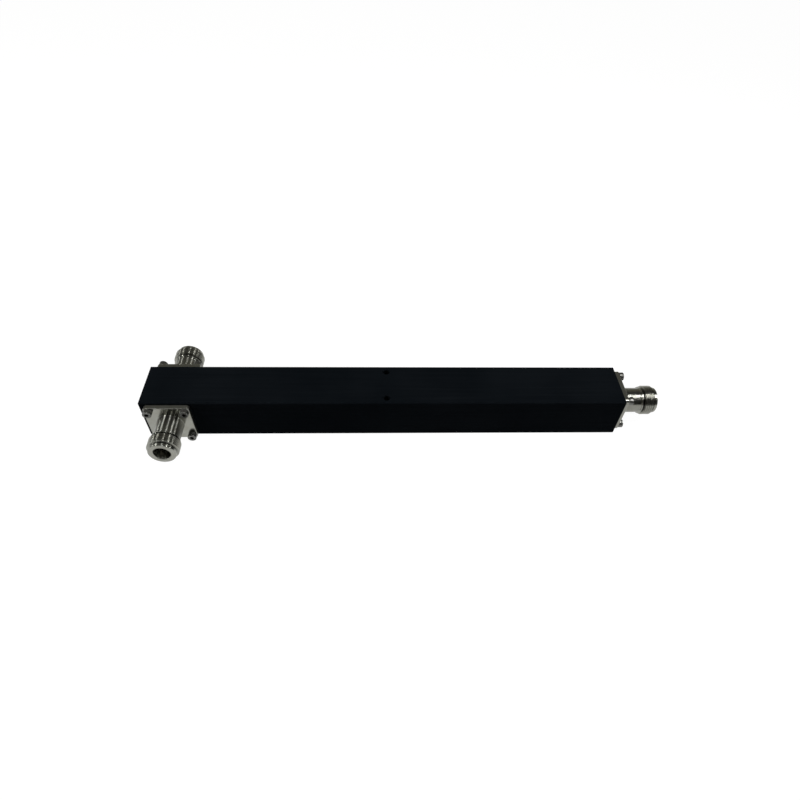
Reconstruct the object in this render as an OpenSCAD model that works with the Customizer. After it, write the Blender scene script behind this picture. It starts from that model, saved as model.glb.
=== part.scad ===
// Two way cavity power splitter: a coaxial air line in an extruded body,
// one input jack on the end and two output jacks opposite each other.
// The origin is the centre of the underside. X runs along the body towards
// the input jack, Z points up. Lengths are millimetres.

/* [Housing] */
// Length of the extruded body
body_length = 252; // [180:1:320]
// Width of the body, from one output face to the other
body_width = 26.8; // [26:0.2:32]
// Height of the body
body_height = 24.8; // [24.6:0.2:32]
// Radius along the four long edges
body_edge_r = 0.6; // [0.3:0.1:1.5]
// Bore through the body, the outer conductor of the line
cavity_d = 20; // [18:0.5:20.5]
// Distance from the plugged end to the axis of the output jacks
port_inset = 14; // [13.6:0.2:20]

/* [Mounting holes] */
// Distance between the two tapped holes across the top
mount_spacing = 19; // [18:0.2:19.6]
// Diameter of the tapped holes
mount_hole_d = 3.3; // [2.5:0.1:3.6]
// Depth of the tapped holes
mount_hole_depth = 5; // [3:0.5:5.5]
// Width of the bevel at each hole mouth
mount_bevel = 0.4; // [0.2:0.1:0.6]

/* [End plug] */
// Length of the plug in the output end
plug_length = 5; // [3:0.5:5.5]
// Height of the thread step that the plug sits in
plug_step = 0.5; // [0.3:0.1:0.6]
// Diameter of the two spanner holes
spanner_hole_d = 2.4; // [1.5:0.1:3]
// Distance between the two spanner holes
spanner_spacing = 13; // [8:0.5:14]
// Depth of the spanner holes
spanner_depth = 2.5; // [1:0.5:2.5]

/* [Inner conductor] */
// Impedance of the lines outside, in ohms
line_ohms = 50; // [45:1:60]
// Number of quarter wave steps
steps = 5; // [3:1:7]
// Length of the straight lead at the input end
input_lead = 15; // [12:1:25]
// Air gap from the lead to the input flange
input_gap = 5; // [4.5:0.5:8]
// Air gap from the conductor to the end plug
plug_gap = 1.4; // [0.8:0.1:2]
// Bevel on the shoulder of each step
step_bevel = 0.3; // [0.1:0.1:0.4]
// Width of the slots in the lead's spring end
lead_slot_w = 0.5; // [0.3:0.1:1]
// Length of those slots
lead_slot_length = 6; // [3:0.5:8]

/* [Support rings] */
// Length of each support ring along the line
ring_length = 6; // [3:0.5:10]
// Depth of the groove that holds a ring
ring_groove = 0.4; // [0.2:0.1:0.6]
// Width of the split that lets a ring open
ring_split = 0.6; // [0.3:0.1:1.5]
// Diameter of the air holes through a ring
ring_hole_d = 2.4; // [1:0.1:2.6]
// Number of air holes through a ring
ring_holes = 6; // [4:1:8]

/* [Clamp screw] */
// Thread diameter of the screw that clamps the output contacts
clamp_d = 4; // [3:0.5:5]
// Length of the clamp screw
clamp_length = 5; // [3:0.5:5.5]
// Hexagon socket across flats
clamp_hex = 2; // [1.5:0.1:2.5]

/* [Jack flange] */
// Side of the square flange
flange_size = 23.2; // [22.8:0.2:24.6]
// Thickness of the flange
flange_thick = 2.8; // [2:0.1:3.5]
// Radius at the flange corners
flange_corner_r = 1.6; // [0.5:0.1:2.5]

/* [Jack barrel] */
// Height of a jack above the face that it sits on
jack_height = 22.4; // [21:0.1:28]
// Diameter of the plain stem
stem_d = 13.5; // [12.6:0.1:13.8]
// Diameter of the collar behind the thread
collar_d = 14.8; // [14.2:0.1:15.4]
// Length of the collar with its bevel
collar_length = 0.9; // [0.8:0.1:2]
// Bevel at the back of the collar
collar_bevel = 0.5; // [0.2:0.1:0.6]
// Diameter of the relief grooves at both ends of the thread
relief_d = 12.7; // [12.4:0.1:13.4]
// Width of the groove behind the thread
rear_relief = 0.6; // [0.4:0.1:1]
// Width of the groove in front of the thread
front_relief = 0.4; // [0.2:0.1:0.6]
// Outer diameter of the coupling thread
thread_d = 15.875; // [15.475:0.1:16.675]
// Length of the thread, bevels counted in
thread_length = 5.6; // [5:0.1:7]
// Length of the bevel at each end of the thread
thread_bevel = 0.4; // [0.3:0.1:0.9]
// Diameter of the plain lip at the mouth
lip_d = 13.9; // [13.7:0.1:14.6]
// Length of the lip
lip_length = 1.6; // [0.8:0.1:2]
// Radius on the lip's outer edge
lip_round = 0.5; // [0.2:0.1:0.7]

/* [Jack socket] */
// Bore of the socket
socket_d = 8.6; // [7.9:0.1:8.7]
// Depth of the socket
socket_depth = 9.2; // [7:0.1:10]
// Bevel at the socket mouth
socket_bevel = 0.3; // [0.2:0.05:0.8]
// Bore of the step between the socket and the insulator
step_d = 7; // [6.5:0.1:7.6]
// Length of that step
step_length = 0.8; // [0.5:0.1:1.5]

/* [Insulator] */
// Diameter of the insulator in the jack
insulator_d = 10; // [9:0.1:10.4]
// Diameter of the insulator's tail in the body wall
tail_d = 8.7; // [8:0.1:8.8]

/* [Contact] */
// Diameter of the contact
contact_d = 3.04; // [2.8:0.02:3.2]
// Distance from the jack's mouth back to the contact's tip
contact_recess = 4.4; // [4.2:0.1:5]
// Bore of the contact's socket
contact_bore = 1.66; // [1.4:0.02:1.8]
// Depth of the contact's socket
contact_bore_depth = 5; // [3:0.1:6]
// Width of the slots between the contact's fingers
finger_slot_w = 0.35; // [0.2:0.05:0.5]
// Length of those slots
finger_slot_length = 4.5; // [2:0.1:5]
// Height of the barb that holds the contact in its insulator
barb_height = 0.3; // [0.1:0.05:0.5]
// Length of the barb
barb_length = 0.8; // [0.4:0.1:1.5]
// Gap between the ends of the two output contacts
contact_gap = 0.8; // [0.4:0.1:2]

/* [Seals] */
// Thickness of the round seal cord
seal_section = 1.1; // [0.8:0.05:1.4]
// Step around the bore that seats the input seal
input_seat_step = 0.7; // [0.5:0.1:0.8]

/* [Flange screws] */
// Distance between screws along a side of the flange
screw_spacing = 18.4; // [18:0.2:18.8]
// Thread diameter of the screws
screw_d = 2.5; // [2:0.1:2.6]
// Length of the screws under the head
screw_length = 8; // [6:0.5:8]
// Diameter of the screw head
head_d = 4.5; // [3.8:0.1:5]
// Height of the screw head
head_height = 2.5; // [2:0.1:3.5]
// Hexagon socket across flats
head_hex = 2; // [1.5:0.1:2.5]
// Depth of the hexagon socket
head_hex_depth = 1.3; // [0.8:0.1:1.6]

/* [Fits] */
// Gap around a piece that is slid or pressed in
slide_fit = 0.03; // [0.02:0.01:0.05]
// Gap around a screw in its own thread
thread_fit = 0.04; // [0.03:0.01:0.06]
// Gap around a screw in a plain hole
clear_fit = 0.1; // [0.05:0.05:0.2]
// Spare depth at the bottom of a blind hole
blind_spare = 0.4; // [0.2:0.1:0.5]

/* [Hidden] */
$fn = 64;
cut = 1;             // how far a cutting shape runs past the face it opens
bevel = 0.3;         // small bevel on turned ends
air_ohms = 60;       // impedance of an air line whose diameters are in the ratio e

axis_z = body_height / 2;
input_x = body_length / 2;
plug_x = -body_length / 2;
port_x = plug_x + port_inset;
side_wall = (body_width - cavity_d) / 2;

// Depth of a tapped hole for a flange screw, and of the seat for a seal
screw_hole_depth = screw_length - flange_thick + blind_spare;
seal_seat_depth = seal_section + slide_fit;
output_seal_r = insulator_d / 2 + clear_fit + seal_section / 2;
output_seat_r = output_seal_r + seal_section / 2 + clear_fit;
input_seat_r = cavity_d / 2 + input_seat_step;
input_seal_r = input_seat_r - clear_fit - seal_section / 2;

// The contacts reach from the jack to just short of the line's axis
contact_tail = (body_width - contact_gap) / 2;
contact_tip = jack_height - contact_recess;
insulator_front = jack_height - socket_depth - step_length;
barb_at = insulator_front / 2;

// Stations along the inner conductor
rod_start = plug_x + plug_length + plug_gap;
rod_end = input_x - input_gap;
step_length_x = (rod_end - input_lead - port_x) / steps;
function step_x(i) = i == 0 ? rod_start : port_x + i * step_length_x;

// Binomial transformer from half the line's impedance up to the whole
function choose(n, k) = k == 0 ? 1 : choose(n, k - 1) * (n - k + 1) / k;
function share(i) = i < 0 ? 0 : share(i - 1) + choose(steps, i) / pow(2, steps);
function step_ohms(i) = line_ohms / 2 * pow(2, share(i));
function step_r(i) = cavity_d / 2 * exp(-step_ohms(i) / air_ohms);

// Steps that carry a support ring, counted from the outputs
output_ring_step = 1;
input_ring_step = steps - 2;
function ring_x(i) = port_x + (i + 0.5) * step_length_x;

module along_x() {
    rotate([0, 90, 0]) children();
}

// Places a jack piece, modelled upwards from its seat, on the input end
module at_input() {
    translate([input_x, 0, axis_z]) along_x() children();
}

// Places a jack piece on an output face: side is -1 for front, 1 for rear
module at_output(side) {
    translate([port_x, side * body_width / 2, axis_z])
        rotate([-90 * side, 0, 0])
            children();
}

module at_screws() {
    for (x = [-1, 1], y = [-1, 1])
        translate([x * screw_spacing / 2, y * screw_spacing / 2, 0]) children();
}

module rounded_square(w, h, r) {
    square([w - 2 * r, h], center = true);
    square([w, h - 2 * r], center = true);
    for (x = [-1, 1], y = [-1, 1])
        translate([x * (w / 2 - r), y * (h / 2 - r)]) circle(r);
}

// Hexagon socket, open upwards at z = 0
module hex_socket(across_flats, depth) {
    translate([0, 0, -depth]) cylinder(d = across_flats / cos(30), h = depth + cut, $fn = 6);
}

module housing() {
    color([0.05, 0.055, 0.06])
    difference() {
        translate([plug_x, 0, axis_z])
            along_x()
                linear_extrude(body_length) rounded_square(body_height, body_width, body_edge_r);
        translate([plug_x - cut, 0, axis_z])
            along_x() cylinder(d = cavity_d, h = body_length + 2 * cut);
        translate([plug_x - cut, 0, axis_z])
            along_x() cylinder(r = cavity_d / 2 + plug_step, h = plug_length + cut);
        at_input() translate([0, 0, -seal_seat_depth])
            cylinder(r = input_seat_r, h = seal_seat_depth + cut);
        at_input() screw_holes();
        for (side = [-1, 1]) at_output(side) {
            output_port();
            screw_holes();
        }
        for (y = [-1, 1]) translate([0, y * mount_spacing / 2, body_height]) mount_hole();
    }
}

// Opening in the side wall with its stepped seat for insulator and seal
module output_port() {
    translate([0, 0, -side_wall - cut]) cylinder(r = tail_d / 2 + slide_fit, h = side_wall + 2 * cut);
    translate([0, 0, -seal_seat_depth]) cylinder(r = output_seat_r, h = seal_seat_depth + cut);
}

module screw_holes() {
    at_screws() translate([0, 0, -screw_hole_depth])
        cylinder(r = screw_d / 2 + thread_fit, h = screw_hole_depth + cut);
}

module mount_hole() {
    translate([0, 0, -mount_hole_depth]) cylinder(d = mount_hole_d, h = mount_hole_depth + cut);
    translate([0, 0, -mount_bevel])
        cylinder(r1 = mount_hole_d / 2, r2 = mount_hole_d / 2 + mount_bevel + cut, h = mount_bevel + cut);
}

// Threaded plug that closes the bore flush with the end of the body
module end_plug() {
    plug_r = cavity_d / 2 + plug_step - thread_fit;
    color([0.07, 0.075, 0.08])
    translate([plug_x, 0, axis_z]) along_x() difference() {
        rotate_extrude() polygon([
            [0, 0], [plug_r - bevel, 0], [plug_r, bevel],
            [plug_r, plug_length - bevel], [plug_r - bevel, plug_length], [0, plug_length]
        ]);
        for (y = [-1, 1]) translate([0, y * spanner_spacing / 2, -cut])
            cylinder(d = spanner_hole_d, h = spanner_depth + cut);
    }
}

// Stepped rod: each step is a quarter wave long and thinner than the last
module inner_conductor() {
    pin_r = contact_d / 2 + slide_fit;
    pin_depth = contact_tail - input_gap + blind_spare;
    color([0.8, 0.72, 0.5])
    translate([0, 0, axis_z]) difference() {
        along_x() rotate_extrude() difference() {
            polygon([
                [0, rod_start],
                [step_r(0) - bevel, rod_start],
                [step_r(0), rod_start + bevel],
                for (i = [0:steps - 1]) each step_shoulder(i),
                [step_r(steps), step_x(steps)],
                [step_r(steps), rod_end - bevel],
                [step_r(steps) - bevel, rod_end],
                [0, rod_end]
            ]);
            for (i = [output_ring_step, input_ring_step])
                translate([step_r(i) - ring_groove, ring_x(i) - ring_length / 2 - slide_fit])
                    square([cavity_d, ring_length + 2 * slide_fit]);
        }
        translate([port_x, 0, 0]) rotate([90, 0, 0])
            cylinder(r = pin_r, h = cavity_d, center = true);
        translate([rod_start - cut, 0, 0]) along_x()
            cylinder(r = clamp_d / 2 + thread_fit, h = port_x - rod_start + cut);
        translate([rod_end - pin_depth, 0, 0]) along_x() cylinder(r = pin_r, h = pin_depth + cut);
        for (turn = [0, 90]) rotate([turn, 0, 0])
            translate([rod_end - lead_slot_length, -lead_slot_w / 2, -cavity_d / 2])
                cube([lead_slot_length + cut, lead_slot_w, cavity_d]);
    }
}

// Corner points where step i ends and the thinner step after it begins
function step_shoulder(i) =
    let (drop = step_r(i) - step_r(i + 1), b = min(step_bevel, drop / 2), x = step_x(i + 1))
    [[step_r(i), x - b], [step_r(i) - b, x], [step_r(i + 1), x]];

// Split plastic ring that centres the conductor in the bore
module support_ring(i) {
    inner_r = step_r(i) - ring_groove + slide_fit;
    outer_r = cavity_d / 2 - slide_fit;
    color([0.93, 0.93, 0.9])
    translate([ring_x(i), 0, axis_z]) along_x() difference() {
        cylinder(r = outer_r, h = ring_length, center = true);
        cylinder(r = inner_r, h = ring_length + 2 * cut, center = true);
        for (n = [0.5:ring_holes]) rotate(n * 360 / ring_holes)
            translate([(step_r(i) + outer_r) / 2, 0, 0])
                cylinder(d = min(ring_hole_d, outer_r - step_r(i) - bevel), h = ring_length + 2 * cut, center = true);
        translate([0, -ring_split / 2, -ring_length / 2 - cut])
            cube([cavity_d, ring_split, ring_length + 2 * cut]);
    }
}

// Headless screw in the conductor's end, bearing on the two output contacts
module clamp_screw() {
    tip_x = port_x - contact_d / 2 - slide_fit;
    color([0.45, 0.45, 0.47])
    translate([tip_x - clamp_length, 0, axis_z]) rotate([0, -90, 0]) difference() {
        translate([0, 0, -clamp_length]) rotate_extrude() polygon([
            [0, 0], [clamp_d / 2 - bevel, 0], [clamp_d / 2, bevel],
            [clamp_d / 2, clamp_length - bevel], [clamp_d / 2 - bevel, clamp_length], [0, clamp_length]
        ]);
        hex_socket(clamp_hex, clamp_length / 3);
    }
}

// One piece of a jack: square flange, stem, collar, thread and lip
module shell() {
    lip_start = jack_height - lip_length;
    thread_end = lip_start - front_relief;
    thread_start = thread_end - thread_length;
    collar_end = thread_start - rear_relief;
    collar_start = collar_end - collar_length;
    socket_floor = jack_height - socket_depth;
    color([0.72, 0.72, 0.69])
    difference() {
        union() {
            linear_extrude(flange_thick) rounded_square(flange_size, flange_size, flange_corner_r);
            rotate_extrude() {
                polygon([
                    [0, 0], [stem_d / 2, 0], [stem_d / 2, collar_start],
                    [collar_d / 2, collar_start + collar_bevel], [collar_d / 2, collar_end],
                    [relief_d / 2, collar_end], [relief_d / 2, thread_start],
                    [thread_d / 2, thread_start + thread_bevel],
                    [thread_d / 2, thread_end - thread_bevel],
                    [relief_d / 2, thread_end], [relief_d / 2, lip_start],
                    [lip_d / 2, lip_start], [lip_d / 2, jack_height - lip_round],
                    [lip_d / 2 - lip_round, jack_height], [0, jack_height]
                ]);
                translate([lip_d / 2 - lip_round, jack_height - lip_round]) circle(lip_round);
            }
        }
        translate([0, 0, -cut]) cylinder(r = insulator_d / 2 + slide_fit, h = insulator_front + cut);
        cylinder(d = step_d, h = jack_height);
        translate([0, 0, socket_floor]) cylinder(d = socket_d, h = socket_depth + cut);
        translate([0, 0, jack_height - socket_bevel])
            cylinder(r1 = socket_d / 2, r2 = socket_d / 2 + socket_bevel + cut, h = socket_bevel + cut);
        at_screws() translate([0, 0, -cut]) cylinder(r = screw_d / 2 + clear_fit, h = flange_thick + 2 * cut);
    }
}

// Insulator bead: seated on the shell's step and on the seat in the body
module insulator() {
    color([0.94, 0.94, 0.91])
    rotate_extrude() difference() {
        union() {
            translate([0, -seal_seat_depth])
                square([insulator_d / 2, insulator_front + seal_seat_depth]);
            translate([0, -side_wall]) square([tail_d / 2, side_wall]);
        }
        contact_outline(slide_fit);
    }
}

// Half section of the contact, grown by a gap
module contact_outline(gap) {
    r = contact_d / 2 + gap;
    translate([0, -contact_tail]) square([r, contact_tail + contact_tip]);
    polygon([
        [0, barb_at - gap], [r + barb_height, barb_at - gap],
        [r + barb_height, barb_at + gap], [r, barb_at + barb_length + gap], [0, barb_at + barb_length + gap]
    ]);
}

// Turned contact: slotted socket in front, barb, plain pin behind
module contact() {
    r = contact_d / 2;
    color([0.83, 0.69, 0.4])
    difference() {
        rotate_extrude() difference() {
            contact_outline(0);
            translate([0, contact_tip - contact_bore_depth])
                square([contact_bore / 2, contact_bore_depth + cut]);
            polygon([
                [r - bevel, contact_tip + cut], [r - bevel, contact_tip],
                [r, contact_tip - bevel], [r + cut, contact_tip - bevel], [r + cut, contact_tip + cut]
            ]);
            polygon([
                [r - bevel, -contact_tail - cut], [r - bevel, -contact_tail],
                [r, bevel - contact_tail], [r + cut, bevel - contact_tail], [r + cut, -contact_tail - cut]
            ]);
        }
        for (turn = [45, 135]) rotate(turn)
            translate([-contact_d, -finger_slot_w / 2, contact_tip - finger_slot_length])
                cube([2 * contact_d, finger_slot_w, finger_slot_length + cut]);
    }
}

// Round cord seal lying in its seat, just under the flange
module seal(ring_r) {
    color([0.1, 0.1, 0.1])
    translate([0, 0, -seal_seat_depth / 2]) rotate_extrude()
        translate([ring_r, 0]) circle(d = seal_section);
}

// Four socket head screws of one flange
module flange_screws() {
    color([0.6, 0.6, 0.58])
    at_screws() translate([0, 0, flange_thick]) difference() {
        rotate_extrude() polygon([
            [0, -screw_length], [screw_d / 2 - bevel, -screw_length], [screw_d / 2, bevel - screw_length],
            [screw_d / 2, 0], [head_d / 2, 0], [head_d / 2, head_height - bevel],
            [head_d / 2 - bevel, head_height], [0, head_height]
        ]);
        translate([0, 0, head_height]) hex_socket(head_hex, head_hex_depth);
    }
}

housing();
end_plug();
inner_conductor();
clamp_screw();
support_ring(output_ring_step);  // output_support_ring
support_ring(input_ring_step);  // input_support_ring
at_input() shell();  // input_shell
at_input() insulator();  // input_insulator
at_input() contact();  // input_contact
at_input() seal(input_seal_r);  // input_seal
at_input() flange_screws();  // input_screws
at_output(-1) shell();  // front_shell
at_output(-1) insulator();  // front_insulator
at_output(-1) contact();  // front_contact
at_output(-1) seal(output_seal_r);  // front_seal
at_output(-1) flange_screws();  // front_screws
at_output(1) shell();  // rear_shell
at_output(1) insulator();  // rear_insulator
at_output(1) contact();  // rear_contact
at_output(1) seal(output_seal_r);  // rear_seal
at_output(1) flange_screws();  // rear_screws
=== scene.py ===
import bmesh
import bpy
import numpy as np
from mathutils import Matrix, Vector


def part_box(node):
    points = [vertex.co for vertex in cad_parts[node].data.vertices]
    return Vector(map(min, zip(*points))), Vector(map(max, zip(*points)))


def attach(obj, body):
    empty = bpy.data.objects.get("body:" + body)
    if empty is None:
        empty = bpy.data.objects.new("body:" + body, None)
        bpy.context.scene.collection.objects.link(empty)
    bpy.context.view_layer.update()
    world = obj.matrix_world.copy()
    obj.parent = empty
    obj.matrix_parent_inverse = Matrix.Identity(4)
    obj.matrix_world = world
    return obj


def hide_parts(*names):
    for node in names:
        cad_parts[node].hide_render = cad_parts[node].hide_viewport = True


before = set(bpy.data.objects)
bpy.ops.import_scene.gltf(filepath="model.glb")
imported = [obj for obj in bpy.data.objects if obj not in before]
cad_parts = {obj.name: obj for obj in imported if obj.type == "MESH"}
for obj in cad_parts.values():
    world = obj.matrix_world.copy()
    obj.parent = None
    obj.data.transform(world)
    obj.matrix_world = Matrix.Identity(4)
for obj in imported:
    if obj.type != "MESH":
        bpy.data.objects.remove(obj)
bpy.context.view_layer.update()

mm = 0.001
turn = 2 * np.pi

# Camera, fitted to the corners of the body, the flanges and the coupling threads

viewpoint = {
    "focal": 585.7,              # focal length in pixels of the square image
    "imageWidth": 800,           # pixels
    "sensor": 36.0,              # mm
    "azimuth": -3.92,            # degrees, 0 looks straight at the front face
    "elevation": 47.96,          # degrees above the floor
    "roll": 2.86,                # degrees
    "distance": 320.2,           # mm from the point looked at
    "lookAt": (7.6, 0.0, 12.5),  # mm, a little right of the body's middle
    "clip": (0.01, 50.0),        # m, the nearest and the furthest that it sees
}


# The camera sits on a sphere round the point looked at, and roll turns it about its line of sight
def makeCamera(s):
    azimuth, elevation, roll = np.radians([s["azimuth"], s["elevation"], s["roll"]])
    outward = np.cos(elevation)
    back = Vector((np.sin(azimuth) * outward, -np.cos(azimuth) * outward, np.sin(elevation)))
    level = Vector((np.cos(azimuth), np.sin(azimuth), 0.0))
    upright = back.cross(level)
    right = level * np.cos(roll) + upright * np.sin(roll)
    up = upright * np.cos(roll) - level * np.sin(roll)
    data = bpy.data.cameras.new("camera")
    data.sensor_width = s["sensor"]
    data.lens = s["focal"] * s["sensor"] / s["imageWidth"]
    data.clip_start, data.clip_end = s["clip"]
    camera = bpy.data.objects.new("camera", data)
    bpy.context.scene.collection.objects.link(camera)
    place = Matrix((right, up, back)).transposed().to_4x4()
    place.translation = (Vector(s["lookAt"]) + back * s["distance"]) * mm
    camera.matrix_world = place
    bpy.context.scene.camera = camera


makeCamera(viewpoint)
bpy.context.scene.view_settings.view_transform = "Standard"
print("camera ready")

# Materials

noiseSpan = (0.3, 0.7)   # where nearly all the values of a noise lie
patchSpan = (0.35, 0.7)  # the same for patches, which leave a little more of the surface clear


# Linear colour from an sRGB hex value such as #8A8B88, by the curve of the sRGB standard
def hexColour(text):
    srgb = np.array([int(text[i:i + 2], 16) for i in (1, 3, 5)]) / 255
    linear = np.where(srgb <= 0.04045, srgb / 12.92, ((srgb + 0.055) / 1.055) ** 2.4)
    return (*linear, 1.0)


# Noise scale for a pattern whose grain is this many millimetres across
def grain(size):
    return 1 / (size * mm)


# Adds a node. Inputs are given by name or number, as a value or as another node's output, and settings are
# the node's own options
def addNode(tree, kind, inputs=None, **settings):
    node = tree.nodes.new(kind)
    for key, value in settings.items():
        setattr(node, key, value)
    for key, value in (inputs or {}).items():
        if isinstance(value, bpy.types.NodeSocket):
            tree.links.new(value, node.inputs[key])
        else:
            node.inputs[key].default_value = value
    return node


def newMaterial(name):
    material = bpy.data.materials.new(name)
    material.use_nodes = True
    material.node_tree.nodes.clear()
    return material, material.node_tree


def finishMaterial(tree, shader):
    addNode(tree, "ShaderNodeOutputMaterial", {"Surface": shader})


# Extruded aluminium, blasted and dyed black in its oxide: a dry, even, nearly lightless black with a faint
# blue cast
blackAnodise = {
    "deep": "#080B0E",        # dye at its fullest
    "thin": "#0F1215",        # dye where it took a little less
    "dyeSpan": (0.12, 0.4),   # cloud times die line, where the dye is fullest and where it is thinnest
    "cloud": 35.0,            # mm, size of the slow changes in the dye
    "dieLine": (60.0, 0.35),  # mm, length and width of the faint lines that the die leaves along the body
    "grit": 0.22,             # mm, blasting grit, drawn about twice as coarse so that it shows
    "gritHeight": 0.004,      # mm
    "specular": 0.0015,       # a porous oxide mirrors far less than a polished coat
    "ior": 1.5,
    "roughness": (0.42, 0.56),
}


def blackAnodisedAluminium(s):
    material, tree = newMaterial("blackAnodisedAluminium")
    place = addNode(tree, "ShaderNodeTexCoord").outputs["Object"]
    cloud = addNode(tree, "ShaderNodeTexNoise", {"Vector": place, "Scale": grain(s["cloud"]), "Detail": 3.0})
    length, width = s["dieLine"]
    stretched = addNode(tree, "ShaderNodeMapping", {"Vector": place, "Scale": (width / length, 1.0, 1.0)})
    line = addNode(tree, "ShaderNodeTexNoise",
                   {"Vector": stretched.outputs[0], "Scale": grain(width), "Detail": 2.0})
    grit = addNode(tree, "ShaderNodeTexNoise", {"Vector": place, "Scale": grain(s["grit"]), "Detail": 2.0})
    dye = addNode(tree, "ShaderNodeMath", {0: cloud.outputs[0], 1: line.outputs[0]}, operation="MULTIPLY")
    fullest, thinnest = s["dyeSpan"]
    colour = addNode(tree, "ShaderNodeMapRange",
                     {"Value": dye.outputs[0], "From Min": fullest, "From Max": thinnest})
    base = addNode(tree, "ShaderNodeMix",
                   {0: colour.outputs[0], 6: hexColour(s["deep"]), 7: hexColour(s["thin"])},
                   data_type="RGBA")
    low, high = s["roughness"]
    rough = addNode(tree, "ShaderNodeMapRange", {
        "Value": grit.outputs[0], "From Min": noiseSpan[0], "From Max": noiseSpan[1],
        "To Min": low, "To Max": high,
    })
    relief = addNode(tree, "ShaderNodeBump",
                     {"Height": grit.outputs[0], "Strength": 0.5, "Distance": s["gritHeight"] * mm})
    shader = addNode(tree, "ShaderNodeBsdfPrincipled", {
        "Base Color": base.outputs[2], "Roughness": rough.outputs[0], "Normal": relief.outputs[0],
        "Specular IOR Level": s["specular"], "IOR": s["ior"],
    })
    finishMaterial(tree, shader.outputs[0])
    return material


# Radius of the crests, pitch and depth in millimetres. Crest and root are the shares of half a pitch that lie
# flat there
couplingThread = {"major": 7.9375, "pitch": 25.4 / 24, "depth": 0.5, "crest": 0.34, "root": 0.1}
uvName = "profile"  # map along and round each turned piece, in millimetres
uvRadius = 6.75     # mm, radius at which a shell's map is unrolled, that of its stem

# Turned brass with bright nickel: grey metal whose fine turning marks draw each lamp out into a line along
# the axis. The milled flange is almost a mirror on its face and duller and a little darker on its edges. The
# stem was turned in one long cut, and is a little duller and greyer than the thread, the collar and the lip.
# The grooves beside the thread and its roots are painted near black, as painted shade
brightNickel = {
    "colour": "#92938C",
    "stain": "#89887F",       # the plating's warmer, thinner patches
    "patch": 4.0,             # mm, size of those patches
    "mark": 0.09,             # mm between turning marks
    "markHeight": 0.0003,     # mm
    "spread": 0.015,          # how much the marks change the roughness, up and down
    "rest": {"roughness": 0.26, "anisotropy": 0.95, "darkening": 0.0},
    # From and to in mm along the profile, which counts from where the flange's face meets the stem
    "zones": (
        {"from": -60.0, "to": -7.81, "roughness": 0.3, "anisotropy": 0.0, "darkening": 0.2},   # edges and back
        {"from": -7.8, "to": 0.1, "roughness": 0.2, "anisotropy": 0.0, "darkening": 0.0},      # flange's face
        {"from": 0.2, "to": 10.5, "roughness": 0.287, "anisotropy": 1.0, "darkening": 0.18},   # stem
        {"from": 15.1, "to": 20.6, "roughness": 0.275, "anisotropy": 0.98, "darkening": 0.0},  # thread
    ),
    # Painted shade in the two grooves, from and to in mm along the profile
    "grooves": ((12.0, 15.1), (20.6, 22.95)),
    # Near black that is mixed in: painted shade in the grooves and thread roots, a plain darkening in the
    # zones
    "darkening": "#181715",
    "thread": (15.0, 20.65),
    "threadShift": 0.2353,    # mm, distance along the profile less height above the seat, in the thread
    "rootShadeSpan": (0.06, 0.2),  # turns from the root, where the painted shade begins to thin and where it ends
    "rootShadeShare": 0.25,        # how much painted shade lies in the roots
}


# 1 between two distances along the profile, else 0
def withinSpan(tree, along, start, end):
    return addNode(tree, "ShaderNodeMath", {0: along, 1: (start + end) / 2, 2: (end - start) / 2},
                   operation="COMPARE").outputs[0]


# A setting that changes from zone to zone along the profile: its value at rest, plus each zone's own step
def zoneValue(tree, along, s, key):
    value = s["rest"][key]
    for zone in s["zones"]:
        inZone = withinSpan(tree, along, zone["from"], zone["to"])
        value = addNode(tree, "ShaderNodeMath", {0: inZone, 1: zone[key] - s["rest"][key], 2: value},
                        operation="MULTIPLY_ADD").outputs[0]
    return value


# Share of painted shade in the roots of the coupling thread. On the unrolled map the helix is a straight
# line, so the turns climbed less the turns gone round say how far a point is from the root
def threadRootShade(tree, along, around, s):
    pitch = couplingThread["pitch"]
    rise = addNode(tree, "ShaderNodeMath", {0: along, 1: 1 / pitch, 2: -s["threadShift"] / pitch},
                   operation="MULTIPLY_ADD")
    phase = addNode(tree, "ShaderNodeMath", {0: around, 1: -1 / (turn * uvRadius), 2: rise.outputs[0]},
                    operation="MULTIPLY_ADD")
    fromRoot = addNode(tree, "ShaderNodeMath", {0: phase.outputs[0], 1: 0.5}, operation="PINGPONG")
    thins, ends = s["rootShadeSpan"]
    share = addNode(tree, "ShaderNodeMapRange", {
        "Value": fromRoot.outputs[0], "From Min": thins, "From Max": ends,
        "To Min": s["rootShadeShare"], "To Max": 0.0,
    })
    inThread = withinSpan(tree, along, *s["thread"])
    darkening = addNode(tree, "ShaderNodeMath", {0: share.outputs[0], 1: inThread}, operation="MULTIPLY")
    return darkening.outputs[0]


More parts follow.
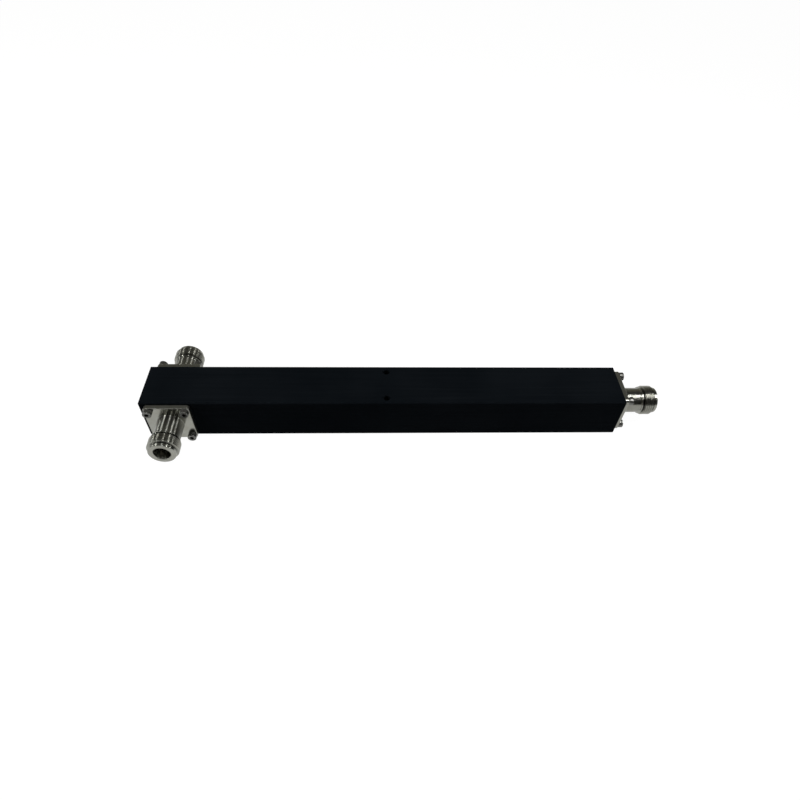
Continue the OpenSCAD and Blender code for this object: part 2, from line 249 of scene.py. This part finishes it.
def nickelPlatedBrass(s):
    material, tree = newMaterial("nickelPlatedBrass")
    place = addNode(tree, "ShaderNodeTexCoord").outputs["Object"]
    unrolled = addNode(tree, "ShaderNodeUVMap", uv_map=uvName).outputs[0]
    split = addNode(tree, "ShaderNodeSeparateXYZ", {"Vector": unrolled})
    along, around = split.outputs[0], split.outputs[1]
    marks = addNode(tree, "ShaderNodeTexNoise", {"W": along, "Scale": 1 / s["mark"], "Detail": 1.0},
                    noise_dimensions="1D")
    patch = addNode(tree, "ShaderNodeTexNoise", {"Vector": place, "Scale": grain(s["patch"]), "Detail": 4.0})
    share = addNode(tree, "ShaderNodeMapRange",
                    {"Value": patch.outputs[0], "From Min": patchSpan[0], "From Max": patchSpan[1]})
    base = addNode(tree, "ShaderNodeMix",
                   {0: share.outputs[0], 6: hexColour(s["colour"]), 7: hexColour(s["stain"])},
                   data_type="RGBA")
    # Each darkening mixes the metal towards the near black: the zones' own share, then painted shade in the
    # grooves and the thread's roots
    darkenings = [zoneValue(tree, along, s, "darkening")]
    darkenings += [withinSpan(tree, along, start, end) for start, end in s["grooves"]]
    darkenings.append(threadRootShade(tree, along, around, s))
    for darkening in darkenings:
        base = addNode(tree, "ShaderNodeMix", {0: darkening, 6: base.outputs[2], 7: hexColour(s["darkening"])},
                       data_type="RGBA")
    change = addNode(tree, "ShaderNodeMapRange", {
        "Value": marks.outputs[0], "From Min": noiseSpan[0], "From Max": noiseSpan[1],
        "To Min": -s["spread"], "To Max": s["spread"],
    })
    gloss = zoneValue(tree, along, s, "roughness")
    rough = addNode(tree, "ShaderNodeMath", {0: gloss, 1: change.outputs[0]}, operation="ADD")
    relief = addNode(tree, "ShaderNodeBump",
                     {"Height": marks.outputs[0], "Strength": 0.3, "Distance": s["markHeight"] * mm})
    tangent = addNode(tree, "ShaderNodeTangent", direction_type="UV_MAP", uv_map=uvName)
    streak = zoneValue(tree, along, s, "anisotropy")
    shader = addNode(tree, "ShaderNodeBsdfPrincipled", {
        "Base Color": base.outputs[2], "Metallic": 1.0, "Roughness": rough.outputs[0],
        "Anisotropic": streak, "Tangent": tangent.outputs[0], "Normal": relief.outputs[0],
    })
    finishMaterial(tree, shader.outputs[0])
    return material


# Plain metals, told apart by colour, gloss and the size of their patches in mm
plainMetals = {
    # Cold headed stainless: a little darker than the nickel, smooth from the die
    "stainlessSteel": {"colour": "#6C6C69", "shade": "#565653", "patch": 1.5, "roughness": (0.33, 0.43)},
    # Silver plate on the line's centre rod: pale and warm, with a light yellow tarnish
    "silverPlatedBrass": {"colour": "#D8D3C4", "shade": "#BDB295", "patch": 9.0, "roughness": (0.18, 0.3)},
    # Silver plate on the sprung contacts: the same, a little duller
    "silverPlatedBronze": {"colour": "#CFCBC0", "shade": "#A89F88", "patch": 1.2, "roughness": (0.2, 0.3)},
}


def plainMetal(name, s):
    material, tree = newMaterial(name)
    place = addNode(tree, "ShaderNodeTexCoord").outputs["Object"]
    patch = addNode(tree, "ShaderNodeTexNoise", {"Vector": place, "Scale": grain(s["patch"]), "Detail": 5.0})
    share = addNode(tree, "ShaderNodeMapRange",
                    {"Value": patch.outputs[0], "From Min": patchSpan[0], "From Max": patchSpan[1]})
    base = addNode(tree, "ShaderNodeMix",
                   {0: share.outputs[0], 6: hexColour(s["colour"]), 7: hexColour(s["shade"])},
                   data_type="RGBA")
    low, high = s["roughness"]
    rough = addNode(tree, "ShaderNodeMapRange", {"Value": share.outputs[0], "To Min": low, "To Max": high})
    shader = addNode(tree, "ShaderNodeBsdfPrincipled",
                     {"Base Color": base.outputs[2], "Metallic": 1.0, "Roughness": rough.outputs[0]})
    finishMaterial(tree, shader.outputs[0])
    return material


# Non metals: PTFE is a waxy translucent white, and the seals are dull black nitrile rubber
softParts = {
    "ptfe": {"colour": "#F0F0EC", "shade": "#E2E2DC", "patch": 3.0, "roughness": 0.42, "depth": 0.25},
    "nitrileRubber": {"colour": "#121212", "shade": "#1C1B1A", "patch": 0.6, "roughness": 0.75, "depth": 0.0},
}
softRelief = 0.01             # mm, height of their faint unevenness
softReach = 1.0               # mm that light travels inside
softTint = (1.0, 0.95, 0.9)   # how far red, green and blue go, nearly alike so that the white stays neutral


def softMaterial(name, s):
    material, tree = newMaterial(name)
    place = addNode(tree, "ShaderNodeTexCoord").outputs["Object"]
    patch = addNode(tree, "ShaderNodeTexNoise", {"Vector": place, "Scale": grain(s["patch"]), "Detail": 3.0})
    base = addNode(tree, "ShaderNodeMix",
                   {0: patch.outputs[0], 6: hexColour(s["colour"]), 7: hexColour(s["shade"])},
                   data_type="RGBA")
    relief = addNode(tree, "ShaderNodeBump",
                     {"Height": patch.outputs[0], "Strength": 0.2, "Distance": softRelief * mm})
    shader = addNode(tree, "ShaderNodeBsdfPrincipled", {
        "Base Color": base.outputs[2], "Roughness": s["roughness"], "Normal": relief.outputs[0],
        "Subsurface Weight": s["depth"], "Subsurface Scale": softReach * mm, "Subsurface Radius": softTint,
    })
    finishMaterial(tree, shader.outputs[0])
    return material


finishes = {
    "anodised_aluminium": blackAnodisedAluminium(blackAnodise),
    "nickel_plated_brass": nickelPlatedBrass(brightNickel),
    "stainless_steel": plainMetal("stainlessSteel", plainMetals["stainlessSteel"]),
    "silvered_brass": plainMetal("silverPlatedBrass", plainMetals["silverPlatedBrass"]),
    "silvered_contact": plainMetal("silverPlatedBronze", plainMetals["silverPlatedBronze"]),
    "ptfe": softMaterial("ptfe", softParts["ptfe"]),
    "seal_rubber": softMaterial("nitrileRubber", softParts["nitrileRubber"]),
}


# Each CAD node comes with the name of its slot in the record, and takes that slot's finish
def dressNodes():
    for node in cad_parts.values():
        for holder in node.material_slots:
            holder.material = finishes[holder.material.name]


dressNodes()
print("materials ready")

# Surfaces worked out as grids

weldDistance = 0.0005  # mm, points nearer to each other than this become one
crispAngle = 35        # degrees, an edge that turns by more than this is kept crisp
flankEase = 0.2        # how strongly a thread's flank is eased into its crest and root


# Turns a grid of points into vertices, quads and a map. Rows follow the profile, columns go round the axis,
# and the last column meets the first. The map holds millimetres along the profile and round the piece
def gridPart(points, along, around):
    rows, columns = points.shape[:2]
    i, j = np.meshgrid(np.arange(rows - 1), np.arange(columns), indexing="ij")
    k = (j + 1) % columns
    quads = np.stack([i * columns + j, i * columns + k, (i + 1) * columns + k, (i + 1) * columns + j], -1)
    u = np.stack([along[i], along[i], along[i + 1], along[i + 1]], -1)
    v = np.stack([around[j], around[j + 1], around[j + 1], around[j]], -1)
    return points.reshape(-1, 3), quads.reshape(-1, 4), np.stack([u, v], -1).reshape(-1, 2)


def shadeCrisply(mesh):
    mesh.shade_smooth()
    mesh.set_sharp_from_angle(angle=np.radians(crispAngle))


# One mesh from several grid parts in millimetres, welded where rows or columns meet
def gridMesh(name, parts):
    starts = np.cumsum([0] + [len(points) for points, quads, places in parts])
    points = np.concatenate([part[0] for part in parts]) * mm
    quads = np.concatenate([part[1] + start for part, start in zip(parts, starts)])
    places = np.concatenate([part[2] for part in parts])
    mesh = bpy.data.meshes.new(name)
    mesh.from_pydata(points.tolist(), [], quads.tolist())
    mesh.uv_layers.new(name=uvName).data.foreach_set("uv", places.ravel())
    work = bmesh.new()
    work.from_mesh(mesh)
    bmesh.ops.remove_doubles(work, verts=work.verts, dist=weldDistance * mm)
    bmesh.ops.dissolve_degenerate(work, edges=work.edges, dist=weldDistance * mm)
    bmesh.ops.recalc_face_normals(work, faces=work.faces)
    work.to_mesh(mesh)
    work.free()
    shadeCrisply(mesh)
    return mesh


# Length along a profile up to each of its points
def runningLength(points):
    steps = np.hypot(*np.diff(points, axis=0).T)
    return np.concatenate([[0.0], np.cumsum(steps)])


# Profile through the corners (radius, height, fillet). Each fillet is an arc that touches both of its
# straight sides, and a point a little way along each side, ease in mm, lets the straight shade as straight
def filletedProfile(corners, arcPoints=6, ease=0.04):
    made = [np.array([corners[0][:2]])]
    for before, corner, after in zip(corners, corners[1:], corners[2:]):
        here = np.array(corner[:2])
        if not corner[2]:
            made.append(here[None])
            continue
        a = np.array(before[:2]) - here
        b = np.array(after[:2]) - here
        a, b = a / np.hypot(*a), b / np.hypot(*b)
        half = np.arccos(np.clip(a @ b, -1, 1)) / 2
        reach = corner[2] / np.tan(half)
        middle = here + (a + b) / np.hypot(*(a + b)) * corner[2] / np.sin(half)
        t = np.linspace(0, 1, arcPoints)[:, None]
        start, end = here + a * reach - middle, here + b * reach - middle
        sweep = np.arccos(np.clip(start @ end / corner[2] ** 2, -1, 1))
        arc = (start * np.sin((1 - t) * sweep) + end * np.sin(t * sweep)) / np.sin(sweep)
        made.append(np.concatenate([[here + a * (reach + ease)], middle + arc, [here + b * (reach + ease)]]))
    made.append(np.array([corners[-1][:2]]))
    return np.concatenate(made)


# Radius of a 60 degree thread: flat at crest and root, and between them a straight flank that a sine eases
# a little at both ends
def threadRadius(height, angle, s):
    phase = (height / s["pitch"] - angle / turn) % 1.0
    fromCrest = np.abs(2 * phase - 1)
    ramp = np.clip((fromCrest - s["crest"]) / (1 - s["crest"] - s["root"]), 0, 1)
    return s["major"] - s["depth"] * (ramp - flankEase * np.sin(turn * ramp) / turn)


# Distance from the centre to a square outline of this half side, whose corners are rounded
def squareReach(angle, half, cornerRadius):
    folded = np.abs((angle + turn / 8) % (turn / 4) - turn / 8)
    centre = half - cornerRadius
    toCentre = centre * (np.cos(folded) + np.sin(folded))
    onArc = toCentre + np.sqrt(np.maximum(cornerRadius ** 2 - (2 * centre ** 2 - toCentre ** 2), 0))
    return np.where(np.tan(folded) * half <= centre, half / np.cos(folded), onArc)


# Where each jack sits, read from the CAD: its seat in mm, and the axes that turn a piece from pointing up to
# pointing out of the body
def jackPlace(name):
    low, high = (np.array(corner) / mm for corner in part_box(name + "_shell"))
    middle = (low + high) / 2
    bodyLow, bodyHigh = (np.array(corner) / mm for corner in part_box("housing"))
    if name == "input":
        middle[0] = bodyHigh[0]
        return middle, np.array([[0, 0, 1], [0, 1, 0], [-1, 0, 0]])
    side = -1 if name == "front" else 1
    middle[1] = bodyLow[1] if side < 0 else bodyHigh[1]
    return middle, np.array([[1, 0, 0], [0, 0, side], [0, -side, 0]])


def placeMesh(mesh, jack):
    seat, axes = jackPlace(jack)
    place = Matrix(axes.tolist()).to_4x4()
    place.translation = Vector(seat * mm)
    mesh.transform(place)


def addPiece(name, mesh, slot, node):
    mesh.materials.clear()
    mesh.materials.append(finishes[slot])
    piece = bpy.data.objects.new(name, mesh)
    bpy.context.scene.collection.objects.link(piece)
    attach(piece, "root")
    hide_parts(node)


jacks = ("input", "front", "rear")

# Jack shell: flange, stem, collar, coupling thread and lip are one turned and milled piece. Sizes are in
# millimetres, and heights count from the seat

shell = {
    "flangeHalf": 11.6, "flangeThick": 2.8, "flangeCorner": 1.6, "edgeRound": 0.4,
    "stem": 6.75, "stemClear": 0.3,            # radius, and how far out from it the flange's flat face starts
    "collar": (7.4, 13.3, 13.8, 14.2),         # radius, start, full, end
    "relief": 6.35, "threadStart": 14.8, "threadEnd": 20.4, "threadBevel": 0.4,
    "lip": (6.95, 20.8, 22.4, 0.5),            # radius, start, end, rounding
    "socket": (4.3, 13.2), "mouthBevel": 0.3,  # radius, floor
    "step": (3.5, 12.4), "insulator": 5.03,    # radius and back of the step, radius of the insulator's seat
    "fillets": {
        "stemFoot": 0.2, "collarFoot": 0.15, "collarTop": 0.08, "collarEnd": 0.06, "groove": 0.08,
        "lipFoot": 0.05, "mouth": 0.08, "socket": 0.1, "step": 0.05, "seat": 0.1,
    },
    "ease": 0.05,                              # from each rounding to the first row of the flat beside it
    "screwHole": 1.35, "screwSpacing": 18.4, "drillPast": 1.0,
    "faceRings": (0.25, 0.5, 0.75, 0.98),      # shares of the way from the middle to the flange's outline
    "edgePoints": 5, "sideColumns": 16, "cornerColumns": 9, "rowsPerPitch": 18,
}


# Angles round the shell, closer together over the flange's rounded corners
def shellAngles(s):
    edge = np.arctan2(s["flangeHalf"] - s["flangeCorner"], s["flangeHalf"])
    side = np.linspace(-edge, edge, 2 * s["sideColumns"], endpoint=False)
    corner = np.linspace(edge, turn / 4 - edge, s["cornerColumns"], endpoint=False)
    quarter = np.concatenate([side, corner])
    return (quarter[None] + np.arange(4)[:, None] * turn / 4).ravel()


# Rows of the shell as (round radius, square half side, share of square, height). The square rows are the
# flange, the round ones follow the turned profile, and the share in between spreads the flange's face out to
# its outline. Its edges are quarter circles
def shellRows(s):
    e, thick, half = s["edgeRound"], s["flangeThick"], s["flangeHalf"]
    arc = np.linspace(0, turn / 4, s["edgePoints"])
    backEdge = [(s["insulator"], half - e * (1 - np.sin(t)), 1.0, e * (1 - np.cos(t))) for t in arc]
    frontEdge = [(s["stem"], half - e * (1 - np.cos(t)), 1.0, thick - e * (1 - np.sin(t))) for t in arc]
    side = [(s["stem"], half, 1.0, e + s["ease"]), (s["stem"], half, 1.0, thick - e - s["ease"])]
    faceStart = s["stem"] + s["stemClear"]
    backFace = [(s["insulator"], half - e, share, 0.0) for share in (0.0, *s["faceRings"])]
    frontFace = [(faceStart, half - e, share, thick) for share in s["faceRings"][::-1]]
    collarR, collarStart, collarFull, collarEnd = s["collar"]
    lipR, lipStart, mouth, lipRound = s["lip"]
    socketR, socketFloor = s["socket"]
    stepR, stepBack = s["step"]
    rimR = socketR + s["mouthBevel"]
    fillet = s["fillets"]
    outer = filletedProfile([
        (faceStart, thick, 0), (s["stem"], thick, fillet["stemFoot"]),
        (s["stem"], collarStart, fillet["collarFoot"]), (collarR, collarFull, fillet["collarTop"]),
        (collarR, collarEnd, fillet["collarEnd"]), (s["relief"], collarEnd, fillet["groove"]),
        (s["relief"], s["threadStart"], 0),
    ])
    rows = round((s["threadEnd"] - s["threadStart"]) / couplingThread["pitch"] * s["rowsPerPitch"])
    thread = np.linspace(s["threadStart"], s["threadEnd"], rows + 1)[1:-1]
    inner = filletedProfile([
        (s["relief"], s["threadEnd"], 0), (s["relief"], lipStart, fillet["lipFoot"]),
        (lipR, lipStart, fillet["lipFoot"]), (lipR, mouth, lipRound), (rimR, mouth, fillet["mouth"]),
        (socketR, mouth - s["mouthBevel"], fillet["socket"]), (socketR, socketFloor, fillet["socket"]),
        (stepR, socketFloor, fillet["step"]), (stepR, stepBack, 0),
        (s["insulator"], stepBack, fillet["seat"]), (s["insulator"], 0.0, 0),
    ])
    turned = [(r, 0.0, 0.0, h) for r, h in outer]
    turned += [(couplingThread["major"], 0.0, 0.0, h) for h in thread]
    turned += [(r, 0.0, 0.0, h) for r, h in inner]
    flange = backFace + backEdge + side + frontEdge + frontFace
    return np.array(flange + turned), len(flange)


# The distance from the axis is each row's round radius and its square outline, mixed by its share. In the
# thread it is the radius of the helix, cut down at both ends by a cone
def shellMesh(s):
    angles = shellAngles(s)
    rows, firstTurned = shellRows(s)
    radius, half, share, height = (column[:, None] for column in rows.T)
    square = squareReach(angles[None], np.maximum(half, s["flangeCorner"]), s["flangeCorner"])
    reach = (1 - share) * radius + share * square
    major = couplingThread["major"]
    inThread = (height > s["threadStart"]) & (height < s["threadEnd"]) & (radius == major)
    fromEnd = np.minimum(height - s["threadStart"], s["threadEnd"] - height) / s["threadBevel"]
    bevel = s["relief"] + (major - s["relief"]) * fromEnd
    reach = np.where(inThread, np.minimum(threadRadius(height, angles[None], couplingThread), bevel), reach)
    points = np.stack([reach * np.cos(angles), reach * np.sin(angles), height + 0 * reach], -1)
    along = runningLength(np.stack([np.where(inThread, radius, reach)[:, 0], height[:, 0]], -1))
    along -= along[firstTurned]
    around = np.concatenate([angles, [angles[0] + turn]]) * uvRadius
    return gridMesh("shell", [gridPart(points, along, around)])


# Centres of the four screws, at the corners of a square
def screwPlaces():
    offset = shell["screwSpacing"] / 2
    return [(x, y) for x in (-offset, offset) for y in (-offset, offset)]


# Closed plain cylinder of a drill, from below the flange to above it
def drillPart(x, y, radius, bottom, top, columns=40):
    angles = np.arange(columns) * turn / columns
    rows = np.array([(0, bottom), (radius, bottom), (radius, top), (0, top)], float)
    points = np.stack([
        x + rows[:, :1] * np.cos(angles), y + rows[:, :1] * np.sin(angles), rows[:, 1:] + 0 * angles], -1)
    return gridPart(points, runningLength(rows), np.linspace(0, turn * radius, columns + 1))


# The shell with its four screw holes, cut by a Boolean and read back as a plain mesh
def drilledShell(s):
    blank = bpy.data.objects.new("shellBlank", shellMesh(s))
    drills = [drillPart(x, y, s["screwHole"], -s["drillPast"], s["flangeThick"] + s["drillPast"])
              for x, y in screwPlaces()]
    drill = bpy.data.objects.new("shellDrill", gridMesh("shellDrill", drills))
    for thing in (blank, drill):
        bpy.context.scene.collection.objects.link(thing)
    cut = blank.modifiers.new("screwHoles", "BOOLEAN")
    cut.operation, cut.solver, cut.object = "DIFFERENCE", "EXACT", drill
    bpy.context.view_layer.update()
    mesh = bpy.data.meshes.new_from_object(blank.evaluated_get(bpy.context.evaluated_depsgraph_get()))
    for thing in (blank, drill):
        bpy.data.objects.remove(thing)
    shadeCrisply(mesh)
    return mesh


def addShells():
    pattern = drilledShell(shell)
    for jack in jacks:
        mesh = pattern.copy()
        mesh.name = jack + "ShellMesh"
        placeMesh(mesh, jack)
        addPiece(jack + "_threaded_shell", mesh, "nickel_plated_brass", jack + "_shell")


addShells()
print("jack shells ready")

# Socket head cap screws, four on each flange, in millimetres from the flange's face

screw = {
    "length": 8.0, "headRadius": 2.25, "headHeight": 2.5, "headRound": 0.28, "underRound": 0.12,
    "hexHalf": 1.0, "hexDepth": 1.3, "hexCountersink": 0.12,
    "hexDrill": 0.86, "drillPoint": 0.45,  # drilled radius as a share of hexHalf, and depth of its cone
    "tipBevel": 0.3, "rowsPerPitch": 6,
    "knurls": 36, "knurlDepth": 0.05, "knurlFrom": 0.3, "knurlTo": 2.0,
    "turnStep": 0.7,                       # radians from each screw to the next, since no two stop alike
}
screwThread = {"major": 1.25, "pitch": 0.45, "depth": 0.24, "crest": 0.1, "root": 0.15}


# A screw as one closed surface: pole at the tip, threaded shank, head with a straight knurl, and a hexagon
# socket that ends in the drill's cone. In the socket the distance from the axis is the half width over the
# cosine of the angle from the nearest flat
def screwPart(s, x, y, seat, startAngle):
    angles = np.arange(2 * s["knurls"]) * turn / (2 * s["knurls"])
    r, t = s["headRadius"], screwThread["major"]
    shankRows = round((s["length"] - s["tipBevel"]) / screwThread["pitch"] * s["rowsPerPitch"])
    shank = np.linspace(s["tipBevel"] - s["length"], 0, shankRows)[1:-1]
    tip = [(0, -s["length"]), (t - s["tipBevel"], -s["length"]), (t, s["tipBevel"] - s["length"])]
    socketRim = s["hexHalf"] / np.cos(turn / 12) + s["hexCountersink"]
    head = filletedProfile([
        (t, 0, 0), (r, 0, s["underRound"]), (r, s["knurlFrom"], 0), (r, s["knurlTo"], 0),
        (r, s["headHeight"], s["headRound"]), (socketRim, s["headHeight"], 0),
    ])
    hexTop = s["headHeight"] - s["hexCountersink"]
    hexFloor = s["headHeight"] - s["hexDepth"]
    turned = np.array(tip + [(t, h) for h in shank] + head.tolist())
    radius, height = turned[:, :1], turned[:, 1:]
    inThread = (height > s["tipBevel"] - s["length"]) & (height < 0)
    reach = np.where(inThread, threadRadius(height, angles, screwThread), radius + 0 * angles)
    inKnurl = (height >= s["knurlFrom"]) & (height <= s["knurlTo"]) & (radius == r)
    reach = reach - inKnurl * s["knurlDepth"] * (np.arange(len(angles)) % 2)
    fromFlat = (angles + turn / 12) % (turn / 6) - turn / 12
    hexagon = s["hexHalf"] / np.cos(fromFlat)
    socket = np.stack([hexagon, hexagon, s["hexDrill"] * s["hexHalf"] + 0 * angles, 0 * angles])
    depths = np.array([hexTop, hexFloor, hexFloor, hexFloor - s["drillPoint"]])
    reach = np.concatenate([reach, socket])
    height = np.concatenate([height[:, 0], depths])[:, None]
    facing = angles + startAngle
    points = np.stack([
        x + reach * np.cos(facing), y + reach * np.sin(facing), seat + height + 0 * reach], -1)
    along = runningLength(np.stack([reach[:, 0], height[:, 0]], -1))
    return gridPart(points, along, np.linspace(0, turn * r, len(angles) + 1))


def addScrews():
    places = screwPlaces()
    for number, jack in enumerate(jacks):
        first = number * len(places)
        parts = [screwPart(screw, x, y, shell["flangeThick"], screw["turnStep"] * (first + i))
                 for i, (x, y) in enumerate(places)]
        mesh = gridMesh(jack + "ScrewMesh", parts)
        placeMesh(mesh, jack)
        addPiece(jack + "_cap_screws", mesh, "stainless_steel", jack + "_screws")


addScrews()
print("screws ready")

# Studio in metres: pale floor, a dim room above it and five strip lamps on an arch overhead

floor = {
    "size": 12.0,
    "drop": 0.05 * mm,   # below the underside, so that the two faces don't meet
    "paper": "#C0C0BE",
    "white": 1.1,        # strength of the white that the camera sees
    "share": 0.88,       # of that white, the rest is the paper's own shading
}
room = {
    "radius": 4.0, "back": "#9C9A8B", "ceiling": "#595959", "front": "#050505",
    "backSpan": (0.5, 0.95),     # shares of the radius between which the ceiling turns to the back wall
    "frontSpan": (-0.6, -0.95),  # and to the front wall
    "bands": 12, "columns": 48,
}
arch = {
    "x": -0.112, "radius": 0.8, "y": -0.068, "length": 0.264, "width": 0.045,
    "angles": (-65, -37, 5, 40, 68),      # degrees from straight up, towards the input jack
    "watts": (2.2, 2.7, 1.3, 2.3, 1.5),
}
sky = {"colour": "#FFFFFF", "seen": 1.0, "light": 0.24}  # strengths for what sees it, and for what it lights


# 1 for what the camera sees, and for what metal and glass show of it, 0 for the light that falls on things
def seenDirectly(tree):
    path = addNode(tree, "ShaderNodeLightPath").outputs
    shiny = addNode(tree, "ShaderNodeMath",
                    {0: path["Is Glossy Ray"], 1: path["Is Transmission Ray"]}, operation="MAXIMUM")
    return addNode(tree, "ShaderNodeMath",
                   {0: path["Is Camera Ray"], 1: shiny.outputs[0]}, operation="MAXIMUM").outputs[0]


# Sheet on the floor: shows as white with a share of its real shading, so the shadow stays
def floorPaper(s):
    material, tree = newMaterial("floorPaper")
    paper = addNode(tree, "ShaderNodeBsdfDiffuse", {"Color": hexColour(s["paper"])})
    white = addNode(tree, "ShaderNodeEmission", {"Strength": s["white"]})
    share = addNode(tree, "ShaderNodeMath", {0: seenDirectly(tree), 1: s["share"]}, operation="MULTIPLY")
    mixed = addNode(tree, "ShaderNodeMixShader",
                    {0: share.outputs[0], 1: paper.outputs[0], 2: white.outputs[0]})
    finishMaterial(tree, mixed.outputs[0])
    return material


def addFloor(s):
    half, z = s["size"] / 2, -s["drop"]
    mesh = bpy.data.meshes.new("floor")
    corners = [(-half, -half, z), (half, -half, z), (half, half, z), (-half, half, z)]
    mesh.from_pydata(corners, [], [(0, 1, 2, 3)])
    mesh.materials.append(floorPaper(s))
    sheet = bpy.data.objects.new("floor", mesh)
    bpy.context.scene.collection.objects.link(sheet)


# Walls and ceiling of a dim room, which glow faintly: grey overhead, olive at the back and black in front
def roomWalls(s):
    material, tree = newMaterial("roomWalls")
    place = addNode(tree, "ShaderNodeTexCoord").outputs["Object"]
    depth = addNode(tree, "ShaderNodeSeparateXYZ", {"Vector": place}).outputs[1]
    backStart, backEnd = s["backSpan"]
    back = addNode(tree, "ShaderNodeMapRange", {
        "Value": depth, "From Min": backStart * s["radius"], "From Max": backEnd * s["radius"]})
    frontStart, frontEnd = s["frontSpan"]
    front = addNode(tree, "ShaderNodeMapRange", {
        "Value": depth, "From Min": frontStart * s["radius"], "From Max": frontEnd * s["radius"]})
    ceiling = addNode(tree, "ShaderNodeMix",
                      {0: back.outputs[0], 6: hexColour(s["ceiling"]), 7: hexColour(s["back"])},
                      data_type="RGBA")
    colour = addNode(tree, "ShaderNodeMix",
                     {0: front.outputs[0], 6: ceiling.outputs[2], 7: hexColour(s["front"])},
                     data_type="RGBA")
    glow = addNode(tree, "ShaderNodeEmission", {"Color": colour.outputs[2]})
    finishMaterial(tree, glow.outputs[0])
    return material


# Half sphere: at each lift above the floor, a ring of radius times the cosine, at the height of its sine
def addRoom(s):
    lift = np.linspace(0, turn / 4, s["bands"] + 1)[:, None]
    angles = np.arange(s["columns"]) * turn / s["columns"]
    ring = np.cos(lift) * s["radius"] / mm
    height = np.sin(lift) * s["radius"] / mm + 0 * angles
    points = np.stack([ring * np.cos(angles), ring * np.sin(angles), height], -1)
    mesh = gridMesh("room", [gridPart(points, np.arange(s["bands"] + 1.0), np.arange(s["columns"] + 1.0))])
    mesh.materials.append(roomWalls(s))
    walls = bpy.data.objects.new("room", mesh)
    walls.visible_camera = False  # from anywhere, the camera looks in and sees plain white behind the object
    bpy.context.scene.collection.objects.link(walls)


# Each lamp hangs on the arch and faces the point under its middle
def addArch(s):
    for number, (degrees, watts) in enumerate(zip(s["angles"], s["watts"])):
        angle = np.radians(degrees)
        lamp = bpy.data.lights.new("strip%d" % number, "AREA")
        lamp.shape, lamp.energy = "RECTANGLE", watts
        lamp.size, lamp.size_y = s["width"], s["length"]
        thing = bpy.data.objects.new(lamp.name, lamp)
        thing.location = (s["x"] + s["radius"] * np.sin(angle), s["y"], s["radius"] * np.cos(angle))
        thing.rotation_euler = (0, angle, 0)
        bpy.context.scene.collection.objects.link(thing)


def addWorld(s):
    world = bpy.data.worlds.new("world")
    world.use_nodes = True
    tree = world.node_tree
    tree.nodes.clear()
    colour = hexColour(s["colour"])
    white = addNode(tree, "ShaderNodeBackground", {"Color": colour, "Strength": s["seen"]})
    dim = addNode(tree, "ShaderNodeBackground", {"Color": colour, "Strength": s["light"]})
    mixed = addNode(tree, "ShaderNodeMixShader",
                    {0: seenDirectly(tree), 1: dim.outputs[0], 2: white.outputs[0]})
    addNode(tree, "ShaderNodeOutputWorld", {"Surface": mixed.outputs[0]})
    bpy.context.scene.world = world


addFloor(floor)
addRoom(room)
addWorld(sky)
addArch(arch)
print("studio ready")
